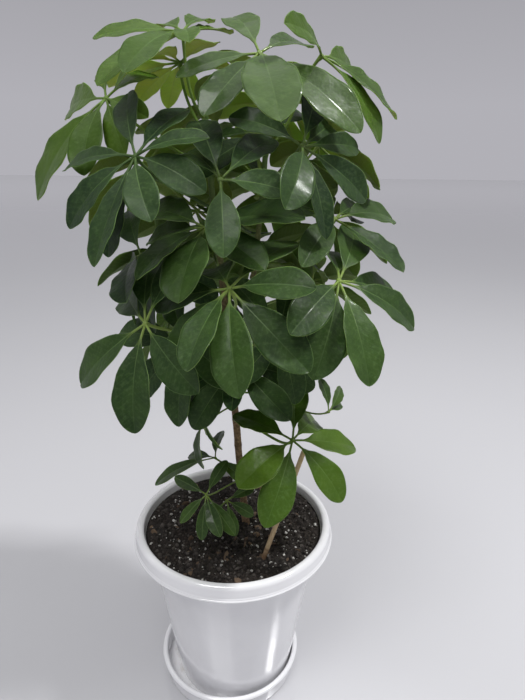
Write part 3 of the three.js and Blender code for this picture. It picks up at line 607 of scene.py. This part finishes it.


# Where each leaf's leaflets meet, which way it faces (turn from the front towards +X, tilt from
# upright), how far its leaflets reach, the stem and height that its petiole leaves from, its age from
# 0, new, to 1, and its leaflets, each an angle round the facing axis, a droop, a size and, where it
# isn't 1, a breadth. The age is also painted light: the backlit leaves of the crown and the upper left
# are given a low age so that they come out a brighter, yellower green, and so is the low front leaf,
# to lift it out of the shade of the leaves above.
LEAVES = {
    # Crown
    "leaf_crown_front": ((23, -20, 599), (0, 40), 92, ("fork", 548), 0.5,
        [(324, 16, 1.04, 1.05), (276, -8, 1.1), (240, 8, 0.78), (208, 4, 0.7, 0.8), (108, 8, 0.8),
         (54, 20, 0.74)]),
    "leaf_crown_left": ((-34, -10, 614), (0, 30), 80, ("trunk", 556), 0.2,
        [(168, 8, 0.95), (224, 12, 1, 0.9), (243, 2, 0.95, 0.9), (285, -12, 0.72, 0.8), (53, 8, 0.74),
         (78, 12, 0.85, 0.8), (112, 16, 0.8), (196, 30, 0.8)]),
    "leaf_crown_right": ((70, 0, 601), (60, 55), 82, ("fork", 535), 0.25,
        [(217, -6, 0.82, 0.85), (48, 2, 0.86), (0, -8, 1.04, 1.3), (330, 0, 0.98)]),
    "leaf_crown_back": ((-45, 50, 604), (180, 15), 68, ("trunk", 544), 0.05,
        [(84, 12, 0.8, 0.75), (246, 20, 0.86), (162, 8, 1.1, 1.3), (138, 16, 0.98, 0.75),
         (108, 12, 1.04, 0.75), (306, 8, 0.92), (345, 12, 0.7), (205, 14, 0.9)]),
    # Front, from the top down
    "leaf_left_high": ((-101, 15, 572), (-30, 55), 99, ("trunk", 518), 0.15,
        [(150, 20, 0.98, 0.95), (222, 8, 1.04, 1.1), (251, 0, 0.75, 1.1), (292, 0, 0.62),
         (318, 6, 0.62, 0.8), (60, 24, 0.6), (105, 16, 0.7)]),
    "leaf_left_upper": ((-63, -60, 527), (-30, 45), 82, ("trunk", 486), 1.0,
        [(282, 8, 0.76), (258, 12, 1.04, 0.75), (210, 12, 0.88), (156, 4, 0.88, 0.75),
         (102, -8, 0.8, 0.9), (60, 12, 0.78), (354, 0, 0.72, 0.8), (318, 8, 0.78), (232, 28, 0.9)]),
    "leaf_right_upper": ((54, -50, 535), (30, 60), 80, ("fork", 502), 0.95,
        [(252, -12, 0.86), (342, 12, 0.88), (294, 8, 0.86, 0.75), (12, 8, 0.76, 0.8), (156, 20, 0.72),
         (78, 4, 0.82), (48, 20, 0.8)]),
    "leaf_middle_upper": ((-3, -70, 512), (0, 45), 80, ("trunk", 462), 0.95,
        [(276, 8, 0.76), (108, -4, 0.84), (54, 12, 0.86), (354, 4, 0.62, 1.3), (118, 24, 0.86)]),
    "leaf_right_middle": ((83, -70, 442), (30, 40), 82, ("fork", 408), 0.72,
        [(69, 6, 0.95), (21, 20, 0.95), (351, 14, 0.95), (288, 14, 1), (264, 14, 0.95), (234, 0, 0.88),
         (92, 18, 0.9)]),
    "leaf_middle": ((4, -90, 440), (-30, 40), 82, ("trunk", 396), 0.75,
        [(273, 14, 1), (306, 18, 1), (345, -3, 0.8), (48, 18, 0.92), (248, -3, 0.88), (177, 14, 0.92),
         (114, 28, 0.95), (212, 26, 0.9)]),
    "leaf_left_low": ((-59, -80, 411), (-30, 60), 82, ("trunk", 372), 0.8,
        [(210, 9, 1), (264, 6, 1), (300, 3, 0.88), (138, 26, 0.95), (99, 26, 0.92), (60, 25, 0.9)]),
    "leaf_front_low": ((54, -50, 299), (30, 30), 74, ("trunk", 290), 0.11,
        [(226, 0, 0.95, 1.15), (258, 18, 1.05), (321, 18, 0.92, 1.05), (10, 12, 0.92, 1.15),
         (148, 20, 0.85, 1.25), (87, 9, 0.95), (55, 26, 0.9)]),
    "leaf_right_behind": ((84, -20, 482), (30, 30), 85, ("fork", 446), 0.75,
        [(36, 8, 0.92), (324, 8, 0.82, 1.3), (60, 4, 0.76, 0.8), (246, -4, 0.88, 0.8), (92, 14, 0.9),
         (130, 15, 0.9), (175, 20, 0.9), (350, 34, 0.8)]),
    "leaf_middle_left": ((-17, -40, 476), (-30, 30), 80, ("trunk", 434), 0.7,
        [(258, 8, 0.95, 1.35), (342, -4, 1.04, 1.25), (132, -4, 0.92, 1.3), (156, 16, 0.9), (228, 6, 0.9),
         (300, 16, 0.9), (200, 20, 0.85)]),
    "leaf_left_middle": ((-75, -10, 450), (-60, 50), 84, ("trunk", 415), 0.95,
        [(105, -6, 1), (291, 0, 0.92), (150, 20, 0.8), (200, 35, 0.8), (246, 28, 0.8), (330, 10, 0.9),
         (20, 15, 0.9), (62, 10, 0.95)]),
    "leaf_top_middle": ((25, 4, 546), (20, 35), 78, ("fork", 515), 0.9,
        [(54, 0, 1), (90, 10, 0.95), (120, 22, 0.95), (165, 20, 0.9), (210, 20, 0.9), (255, 16, 0.9),
         (300, 16, 0.95), (345, 14, 0.95)]),
    "leaf_low_middle": ((6, -32, 362), (-10, 50), 80, ("trunk", 338), 0.85,
        [(234, 14, 0.86), (268, 0, 0.55), (309, 0, 0.85), (350, 20, 0.9), (200, 20, 0.9), (30, 15, 0.9),
         (140, 20, 0.9)]),
    "leaf_low_right": ((40, -24, 386), (20, 55), 64, ("fork", 362), 0.85, ring(7, 26, 14)),
    "leaf_low_left": ((-38, -22, 378), (-25, 55), 80, ("trunk", 350), 0.9, ring(7, 10, 12)),
    # Sides and back, from the top down
    "leaf_back_1": ((42, 74, 574), (150, 35), 85, ("fork", 525), 0.4, ring(7, 20, 12)),
    "leaf_back_2": ((-18, 96, 548), (-170, 45), 88, ("trunk", 502), 0.7, ring(7, 5, 14)),
    "leaf_back_3": ((76, 60, 540), (125, 45), 82, ("fork", 490), 0.6, ring(7, 30, 12)),
    "leaf_back_4": ((-78, 56, 524), (-125, 45), 84, ("trunk", 474), 0.7, ring(7, 15, 12)),
    "leaf_back_5": ((30, 108, 506), (170, 50), 88, ("fork", 468), 0.8, ring(7, 10, 14)),
    "leaf_back_6": ((-42, 104, 478), (-160, 50), 86, ("trunk", 448), 0.8, ring(7, 25, 12)),
    "leaf_back_7": ((88, 72, 478), (135, 50), 82, ("fork", 434), 0.8, ring(7, 0, 12)),
    "leaf_back_8": ((-66, 62, 448), (-130, 50), 80, ("trunk", 404), 0.9, ring(7, 35, 12)),
    "leaf_back_9": ((18, 110, 440), (175, 50), 88, ("fork", 420), 0.85, ring(7, 15, 12)),
    "leaf_back_10": ((78, 84, 410), (145, 55), 80, ("fork", 392), 0.85, ring(7, 5, 12)),
    "leaf_back_11": ((-44, 92, 412), (-155, 55), 82, ("trunk", 384), 0.9, ring(7, 30, 12)),
    "leaf_back_12": ((84, 24, 414), (100, 55), 74, ("fork", 378), 0.85, ring(7, 20, 12)),
    "leaf_back_13": ((-56, 18, 394), (-95, 55), 72, ("trunk", 360), 0.9, ring(7, 10, 12)),
    "leaf_back_14": ((14, 92, 370), (180, 55), 80, ("fork", 350), 0.9, ring(7, 25, 12)),
    # Small leaves low on the trunk
    "leaf_small_left": ((-25, -30, 308), (-65, 80), 46, ("trunk", 305), 0.6,
        [(250, 10, 1.15, 0.8), (285, 30, 0.7, 0.8), (215, 30, 0.7, 0.8)]),
    "leaf_small_right": ((88, -20, 312), (60, 50), 32, ("trunk", 318), 0.5,
        [(120, -10, 1), (80, -15, 1), (45, 5, 0.9), (270, 30, 1), (310, 20, 0.9)]),
    "leaf_shoot_1": ((-22, -45, 240), (-15, 45), 40, ("trunk", 226), 0.6,
        [(150, 0, 0.9, 0.8), (225, 5, 0.85, 0.75), (258, 12, 1, 0.7), (290, 4, 1.02, 0.85),
         (308, 12, 1.1, 0.7), (60, 0, 0.9, 0.8)]),
    "leaf_shoot_2": ((-5, -28, 222), (15, 50), 40, ("trunk", 212), 0.6,
        [(225, 25, 0.8, 0.8), (285, 10, 0.85, 0.85), (335, 8, 0.75), (30, 10, 0.8, 0.8)]),
    "leaf_shoot_3": ((-16, -18, 262), (-60, 35), 50, ("trunk", 243), 0.5,
        [(192, 0, 1.4, 0.6), (250, 30, 0.9, 0.7), (150, 5, 0.8, 0.7), (90, 10, 0.8, 0.8),
         (320, 30, 0.8, 0.8)]),
}

Line = namedtuple("Line", "middle along above side half")  # of a leaflet, at several shares of its reach
STEM_LINES = {"trunk": spine(TRUNK_SPINE, STEM_STEPS), "fork": spine(FORK_SPINE, STEM_STEPS)}


def axes_of(facing):
    """Facing axis of a leaf, and the directions in its plane where angles start and turn to."""
    turn, tilt = radians(facing[0]), radians(facing[1])
    up = np.array([sin(tilt) * sin(turn), -sin(tilt) * cos(turn), cos(tilt)])
    right = unit(np.array([1.0, 0, 0]) - up[0] * up)
    return up, right, np.cross(up, right)


def petiole_radius(reach):
    """Half the thickness of a leaf's petiole, by how far its leaflets reach."""
    return PETIOLE_RADIUS if reach > SMALL_REACH else SMALL_PETIOLE


def leaflet_line(hub, facing, reach, leaflet, share):
    """A leaflet's middle line is an arc that leaves the hub and bends down by its arch. Towards the
    tip it also sways sideways, and its blade rolls about it, each leaflet by its own number."""
    angle, droop, size, breadth, number = leaflet
    up, right, ahead = axes_of(facing)
    out = right * cos(radians(angle)) + ahead * sin(radians(angle))
    level = np.cross(up, out)
    arch = radians(ARCH + ARCH_SPREAD * sin(1.7 * number))
    first = arch / 2 - radians(droop)
    long = reach * size
    s = np.asarray(share, float)[:, None]
    now = first - arch * s
    length, rise = long * (sin(first) - np.sin(now)) / arch, long * (np.cos(now) - cos(first)) / arch
    sway = SWAY * long * sin(2.3 * number) * s**2
    roll = radians(TWIST * sin(3.1 * number)) * s
    q = np.clip((s - NECK) / (1 - NECK), 0, 1)
    shape = q**FULL * (1 - q) ** BLUNT / PEAK
    square = up * np.cos(now) - out * np.sin(now)
    return Line(
        middle=np.array(hub) + out * length + up * rise + level * sway,
        along=out * np.cos(now) + up * np.sin(now),
        above=square * np.cos(roll) - level * np.sin(roll),
        side=level * np.cos(roll) + square * np.sin(roll),
        half=(NECK_HALF * petiole_radius(reach) / PETIOLE_RADIUS + BROAD * breadth * long * shape)[:, 0],
    )


def petiole_line(hub, facing, root, steps):
    """A petiole leaves its stem outwards and upwards and comes into the hub along the leaf's axis,
    on the cubic curve of its two ends and a handle a third of the way from each."""
    stem, height = root
    line = STEM_LINES[stem]
    foot = np.array([np.interp(height, line[:, 2], line[:, k]) for k in range(3)])
    span = np.linalg.norm(hub - foot)
    out = unit((hub - foot) * [1, 1, 0])
    leave = foot + HANDLE * span * out + np.array([0, 0, LIFT * span])
    arrive = hub - HANDLE * span * axes_of(facing)[0]
    t = np.linspace(0, 1, steps + 1)[:, None]
    return (1 - t) ** 3 * foot + 3 * (1 - t) ** 2 * t * leave + 3 * (1 - t) * t**2 * arrive + t**3 * hub


def beads(line, radius, owner):
    """Rows of x, y, z, radius and owner along a line, a few millimetres apart."""
    parts = np.ceil(np.linalg.norm(np.diff(line, axis=0), axis=1) / ROD_PITCH).astype(int)
    legs = zip(line[:-1], line[1:], parts)
    points = np.concatenate([a + (b - a) * np.arange(1, n + 1)[:, None] / n for a, b, n in legs])
    return np.c_[points, np.full(len(points), radius), np.full(len(points), owner)]


def is_clear(line, share, owner, rods, blades, blade_owner, step):
    """Whether none of the points over a blade lies in the slab round another blade's stations, near
    a rod, on the pot's lip or in the soil. Near the hub a leaf's own rods and blades don't count."""
    points = line.middle[:, None] + line.side[:, None] * (ACROSS * line.half[:, None])[..., None]
    wide = np.hypot(points[..., 0], points[..., 1])
    if np.any((wide < OVER_POT) & (points[..., 2] < np.where(wide > IN_POT, RIM_TOP, SOIL_TOP))):
        return False
    away = np.linalg.norm(points[:, :, None] - rods[:, :3], axis=-1)
    counts = (rods[:, 4] != owner) | (share[:, None, None] >= OWN_RODS)
    if np.any(counts & (away < rods[:, 3] + CLEAR)):
        return False
    to = points[:, :, None] - blades.middle
    hits = np.abs(np.einsum("kasi,si->kas", to, blades.above)) < CLEAR
    hits &= np.abs(np.einsum("kasi,si->kas", to, blades.along)) < step + ALONG_CLEAR
    hits &= np.abs(np.einsum("kasi,si->kas", to, blades.side)) < blades.half + EDGE_CLEAR
    return not np.any(hits & ((blade_owner != owner) | (share[:, None, None] >= OWN_BLADES)))


def place_leaflets():
    """Gives each leaflet its place: as listed, or bent and swung by the first choice that is clear of
    what stands already. One that finds no room is left out."""
    rods = [
        beads(spine(CANE_SPINE, STEM_STEPS), CANE_RADIUS, CANE_OWNER),
        beads(STEM_LINES["trunk"], TRUNK_ROD, TRUNK_OWNER),
        beads(STEM_LINES["fork"], FORK_ROD, FORK_OWNER),
    ]
    for number, (hub, facing, reach, root, _, _) in enumerate(LEAVES.values()):
        line = petiole_line(np.array(hub), facing, root, PETIOLE_LEGS)
        rods.append(beads(line, petiole_radius(reach), number))
    rods = np.concatenate(rods)
    share = np.arange(1, STATIONS + 1) / STATIONS
    taken = Line(*(np.zeros((0, 3)) for _ in range(4)), half=np.zeros(0))
    owners, steps, placed = np.zeros(0), np.zeros(0), {}
    for number, (name, (hub, facing, reach, _, _, leaflets)) in enumerate(LEAVES.items()):
        placed[name] = []
        nearby = 1.3 * reach + 30  # further out than any leaflet of this leaf or its neighbour reaches
        near_rods = rods[np.linalg.norm(rods[:, :3] - hub, axis=1) < nearby]
        for k, listed in enumerate(leaflets):
            angle, droop, size, breadth = (*listed, 1)[:4]
            near = np.linalg.norm(taken.middle - hub, axis=1) < nearby
            blades = Line(*(values[near] for values in taken))
            for bend, swing in ((bend, swing) for bend in BENDS for swing in SWINGS):
                leaflet = (angle + swing, droop + bend, size, breadth, 10 * number + k)
                line = leaflet_line(hub, facing, reach, leaflet, np.minimum(share, LAST_TESTED))
                if is_clear(line, share, number, near_rods, blades, owners[near], steps[near]):
                    stations = leaflet_line(hub, facing, reach, leaflet, share)
                    taken = Line(*(np.concatenate(pair) for pair in zip(taken, stations)))
                    owners = np.append(owners, np.full(STATIONS, number))
                    steps = np.append(steps, np.full(STATIONS, reach / STATIONS / 2))
                    placed[name].append(leaflet)
                    break
    return placed


# The ring of a blade's section, from its right edge over the top and back under: how far across each
# point is, and where it stands round the little stalk, in degrees.
TOP_ACROSS = np.array([1, 0.88, 0.62, 0.3, 0.07, 0, -0.07, -0.3, -0.62, -0.88, -1])
UNDER_ACROSS = np.array([-1, -0.8, -0.4, -0.1, 0, 0.1, 0.4, 0.8, 1])
RING_ACROSS = np.concatenate([TOP_ACROSS, UNDER_ACROSS])
TOP_COUNT, UNDER_COUNT = len(TOP_ACROSS), len(UNDER_ACROSS)
TOP_TURN, UNDER_TURN = np.linspace(8, 172, TOP_COUNT), np.linspace(188, 352, UNDER_COUNT)
RING_TURN = np.radians(np.concatenate([TOP_TURN, UNDER_TURN]))
IS_UNDER = np.repeat([0.0, 1], [TOP_COUNT, UNDER_COUNT])
STALK_SHARES = (0.01, 0.07, 0.125)  # of a leaflet's reach, where its stalk has rows of points
BLADE_ROWS = 20
TIP_CROWDING = 1.6  # how the rows of points draw closer towards the tip
BLADE_THICK = 0.5
BLADE_RISE = 0.15  # of the top over the middle line
EDGE_RISE = 0.25  # and of its edges over that
FOLD = 0.11  # rise of a blade's edges over its half width
OLD_FOLD = 0.17  # and on a grown leaf's blades
FOLD_AGES = (0.5, 0.7)  # between which the one turns into the other
RIPPLE = 0.055  # of the half width, at the edges
GROOVE_DEPTH = 0.22
GROOVE_HALF = 0.9
RIB_DEPTH = 0.75
RIB_HALF = 0.8
PETIOLE_ROWS = 18
PETIOLE_SIDES = 10
CLASP_SWELL = 0.55  # of a petiole at its stem
CLASP_LENGTH = 6
KNOT_SWELL = 0.95  # and at the hub
KNOT_LENGTH = 3.2  # in radii of the petiole
KNOT_ENDS = np.array([[0.7], [1.2], [1.5]])  # rows past the hub, in radii of the petiole
KNOT_TAPER = (0.95, 0.7, 0.25)


def leaflet_grid(hub, facing, reach, leaflet, age_and_painted_light):
    """A leaflet carried along its middle line: a round stalk that widens into a blade. Across the
    blade the top rises from a groove over the rib to edges that wave a little, and the underside is a
    thin blade's thickness below it, with the rib standing out along the middle."""
    number = leaflet[4]
    along = 1 - (1 - np.linspace(0, 1, BLADE_ROWS)) ** TIP_CROWDING
    share = np.concatenate([STALK_SHARES, NECK + (1 - NECK) * along])
    line = leaflet_line(hub, facing, reach, leaflet, share)
    q = np.clip((share - NECK) / (1 - NECK), 0, 1)[:, None]
    stalk_radius = NECK_HALF * petiole_radius(reach) / PETIOLE_RADIUS
    half = line.half[:, None] - stalk_radius * 0.75 * q**4
    across = np.abs(RING_ACROSS)
    waves = 2 * pi * (2.2 + 0.6 * sin(number)) * q * 1.3 + 2 * number + (RING_ACROSS > 0) * 2
    ripple = RIPPLE * half * across**3 * np.sin(waves)
    fold = np.interp(age_and_painted_light, FOLD_AGES, (FOLD, OLD_FOLD))
    groove = GROOVE_DEPTH * (1 - np.exp(-(across * half / GROOVE_HALF) ** 2))
    top = BLADE_RISE + (EDGE_RISE + fold * half) * across**1.25 + groove + ripple
    rib = np.exp(-(across * half / RIB_HALF) ** 2)
    thick = BLADE_THICK + RIB_DEPTH * (1 - q) * rib
    height = np.where(IS_UNDER > 0, top - thick, top)
    grown = np.clip((share[:, None] - NECK + 0.01) / 0.13, 0, 1)
    grown = grown**2 * (3 - 2 * grown)
    sideways = grown * RING_ACROSS * half + (1 - grown) * stalk_radius * np.cos(RING_TURN)
    upwards = grown * height + (1 - grown) * stalk_radius * np.sin(RING_TURN)
    points = line.middle[:, None] + line.side[:, None] * sideways[..., None]
    points = points + line.above[:, None] * upwards[..., None]
    long = reach * leaflet[2] * (1 - NECK)
    tint = 0.5 + 0.5 * sin(1.9 * number + 0.6)
    stalky = np.clip((NECK + 0.03 - share[:, None]) / 0.07, 0, 1)
    values = [sideways, q * long, (1 - across) * half, age_and_painted_light, tint, IS_UNDER, stalky]
    values = np.stack(np.broadcast_arrays(*values), axis=-1)
    return np.concatenate([points, values], axis=-1)


def petiole_grid(hub, facing, reach, root, age_and_painted_light):
    """A petiole as a tube that is stout where it clasps the stem and swells to a knot at the hub."""
    hub = np.array(hub, float)
    up = axes_of(facing)[0]
    radius = petiole_radius(reach)
    line = petiole_line(hub, facing, root, PETIOLE_ROWS)
    line = np.concatenate([line, hub + up * radius * KNOT_ENDS])
    gone = np.concatenate([[0], np.cumsum(np.linalg.norm(np.diff(line, axis=0), axis=1))])
    left = gone[-1] - gone
    clasp = CLASP_SWELL * np.exp(-gone / CLASP_LENGTH)
    swell = 1 + clasp + KNOT_SWELL * np.exp(-((left / (KNOT_LENGTH * radius)) ** 2))
    swell[-3:] *= KNOT_TAPER
    out = unit((hub - line[0]) * [1, 1, 0])
    grid = tube(line, radius * swell, PETIOLE_SIDES, np.cross(out, [0, 0, 1]))
    rows = np.broadcast_to(left[:, None] / gone[-1], grid.shape[:2])
    far_from_edge, middling_tint, top_side, all_stalk = 9, 0.5, 0, 1
    values = [0, rows, far_from_edge, age_and_painted_light, middling_tint, top_side, all_stalk]
    values = np.stack(np.broadcast_arrays(*values), axis=-1)
    return np.concatenate([grid, values], axis=-1)


DEEP_GREEN = (0.010, 0.026, 0.010)
FRESH_GREEN = (0.036, 0.072, 0.020)
YOUNG_GREEN = (0.062, 0.124, 0.009)
YOUNG_PALE = (0.108, 0.190, 0.012)
UNDER_OLD = (0.060, 0.120, 0.030)
# Young undersides: pale yellow-green, lightened further as painted backlight, the glow of light shining
# through young leaves from behind.
UNDER_YOUNG_BACKLIT = (0.430, 0.500, 0.070)
RIB_PALE = (0.210, 0.330, 0.110)
STALK_YOUNG = (0.105, 0.185, 0.030)
STALK_OLD = (0.240, 0.320, 0.085)
# Painted shade: the darker green given to the stalks of the oldest leaves, which sit in the shade of
# their blades.
STALK_PAINTED_SHADE = (0.060, 0.105, 0.030)
VEIN_PITCH = 4.6  # millimetres between two side veins

leaf_finish = Finish("leaf_green", {
    "Coat Roughness": 0.13,
    "Specular IOR Level": 0.13,
    "Subsurface Weight": 0.35,
    "Subsurface Scale": 0.0015,
    "Subsurface Radius": (0.7, 1.0, 0.3),
})
across_mm, along_mm, edge_mm = leaf_finish.parts(leaf_finish.own("vein"))
age_and_painted_light, tint, under = leaf_finish.parts(leaf_finish.own("leaf"))
stalky = leaf_finish.own("stalk", "Fac")
cloudy = leaf_finish.noise(55, 3)
mottle = leaf_finish.noise(380, 3)
from_rib = abs(across_mm)
side_veins = ((along_mm - from_rib * 0.75) * (2 * pi / VEIN_PITCH)).wave().rise(0.7, 1.0) * (1 - stalky)
side_veins = side_veins * edge_mm.rise(0.3, 3.0) * from_rib.rise(0.3, 1.5)
midrib = (1 - from_rib.rise(0.1, 0.6)) * (1 - stalky) * (1 - along_mm.rise(8, 55) * 0.75)
margin = (1 - edge_mm.rise(0.05, 0.5)) * (1 - stalky)
old = leaf_finish.blend(tint * 0.55 + cloudy.rise(0.3, 0.75) * 0.45, DEEP_GREEN, FRESH_GREEN)
young = leaf_finish.blend(tint * 0.6 + cloudy.rise(0.3, 0.75) * 0.4, YOUNG_GREEN, YOUNG_PALE)
# Young to old green by the age, which on some leaves is painted light as well.
face = leaf_finish.blend(age_and_painted_light**0.45, young, old)
face = leaf_finish.blend(side_veins * 0.03 + mottle.rise(0.45, 0.75) * 0.1, face, RIB_PALE)
# Undersides, young to old; on the young ones the pale colour is partly painted backlight.
back = leaf_finish.blend(age_and_painted_light, UNDER_YOUNG_BACKLIT, UNDER_OLD)
back = leaf_finish.blend(side_veins * 0.2, back, RIB_PALE)
blade = leaf_finish.blend(under, face, back)
blade = leaf_finish.blend(midrib * 0.3 + margin * 0.35, blade, RIB_PALE)
stalk = leaf_finish.blend(age_and_painted_light, STALK_YOUNG, STALK_OLD)
# Painted shade: the oldest leaves' stalks are darkened.
stalk = leaf_finish.blend(age_and_painted_light.rise(0.85, 1.0), stalk, STALK_PAINTED_SHADE)
half_grown = age_and_painted_light.rise(0.3, 0.5) * (1 - age_and_painted_light.rise(0.5, 0.7))  # the age at which a leaf is glossiest
leaf_finish.wire({
    "Base Color": leaf_finish.blend(stalky, blade, stalk),
    "Roughness": 0.30 + age_and_painted_light * 0.10 + mottle.rise(0.35, 0.7) * 0.14 + under * 0.22 + stalky * 0.1,
    "Coat Weight": (1 - under) * (0.07 + half_grown * 0.28),
})
leaf_finish.relief(side_veins * -0.012 + cloudy * 1.3 + mottle * 0.08 + 0.1, 0.0012)

for name, leaflets in place_leaflets().items():
    hub, facing, reach, root, leaf_age_and_painted_light, _ = LEAVES[name]
    grids = [petiole_grid(hub, facing, reach, root, leaf_age_and_painted_light)]
    grids.append(np.stack([leaflet_grid(hub, facing, reach, leaflet, leaf_age_and_painted_light) for leaflet in leaflets]))
    leaf = add_skin(name.replace("leaf", "foliage"), grids, [("vein", 3), ("leaf", 3), ("stalk", 1)])
    leaf.data.materials.append(leaf_finish.block)
    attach(leaf, "root")
    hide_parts(name)

# Stage. A plain pale floor, glossy enough to throw the key lamp's streak up onto the pot, under soft
# studio light: a grey sky that darkens upwards, a small key lamp high on the right, a broad lamp in
# front, and a wide sun straight overhead.

FLOOR_PALE = (0.54, 0.54, 0.56)
FLOOR_ROUGHNESS = 0.12
FLOOR_HALF = 30
HORIZON_PALE = (0.44, 0.435, 0.47)
ZENITH_PALE = (0.20, 0.198, 0.21)
SKY_FADE = (0.1, 0.7)  # heights over the horizon between which the sky darkens
OVERHEAD_STRENGTH = 1.15
OVERHEAD_WIDTH = 80  # degrees
CAMERA_PLACE = (0.0274, -0.4524, 0.5205)
CAMERA_PITCH = 19.12  # degrees below level
CAMERA_ROLL = 0.61
CAMERA_LENS = 27.05
SENSOR_HEIGHT = 36

floor_mesh = bpy.data.meshes.new("floor")
floor_corners = [(x * FLOOR_HALF, y * FLOOR_HALF, 0) for x, y in ((-1, -1), (1, -1), (1, 1), (-1, 1))]
floor_mesh.from_pydata(floor_corners, [], [(0, 1, 2, 3)])
floor = bpy.data.objects.new("floor", floor_mesh)
bpy.context.collection.objects.link(floor)
floor_finish = Finish("floor_pale", {"Base Color": (*FLOOR_PALE, 1), "Roughness": FLOOR_ROUGHNESS})
floor_mesh.materials.append(floor_finish.block)

sky = Finish("studio", {"Strength": 1.0}, "worlds", "Background")
looking_up = sky.parts(sky.node("TexCoord", {}, {}, "Generated"))[2]
fade = {"Value": looking_up, "From Min": SKY_FADE[0], "From Max": SKY_FADE[1]}
sky.wire({"Color": sky.blend(sky.node("MapRange", {}, fade), HORIZON_PALE, ZENITH_PALE)})
bpy.context.scene.world = sky.block


def add_lamp(name, place, aim, side, watts):
    """A square lamp, turned to face a point."""
    data = bpy.data.lights.new(name, "AREA")
    data.shape = "SQUARE"
    data.size = side
    data.energy = watts
    lamp = bpy.data.objects.new(name, data)
    lamp.location = place
    lamp.rotation_euler = (Vector(aim) - lamp.location).to_track_quat("-Z", "Y").to_euler()
    bpy.context.collection.objects.link(lamp)


add_lamp("key", place=(1.43, -0.11, 2.56), aim=(0, 0, 0.4), side=0.3, watts=48)
add_lamp("front", place=(-0.45, -0.9, 2.1), aim=(0, 0, 0.3), side=0.8, watts=17)

overhead = bpy.data.lights.new("overhead", "SUN")
overhead.energy = OVERHEAD_STRENGTH
overhead.angle = radians(OVERHEAD_WIDTH)
bpy.context.collection.objects.link(bpy.data.objects.new("overhead", overhead))

camera = bpy.data.objects.new("camera", bpy.data.cameras.new("camera"))
camera.data.sensor_fit = "VERTICAL"
camera.data.sensor_height = SENSOR_HEIGHT
camera.data.lens = CAMERA_LENS
camera.matrix_world = (
    Matrix.Translation(CAMERA_PLACE)
    @ Matrix.Rotation(radians(90 - CAMERA_PITCH), 4, "X")
    @ Matrix.Rotation(radians(CAMERA_ROLL), 4, "Z")
)
bpy.context.collection.objects.link(camera)
bpy.context.scene.camera = camera
bpy.context.scene.view_settings.view_transform = "Standard"
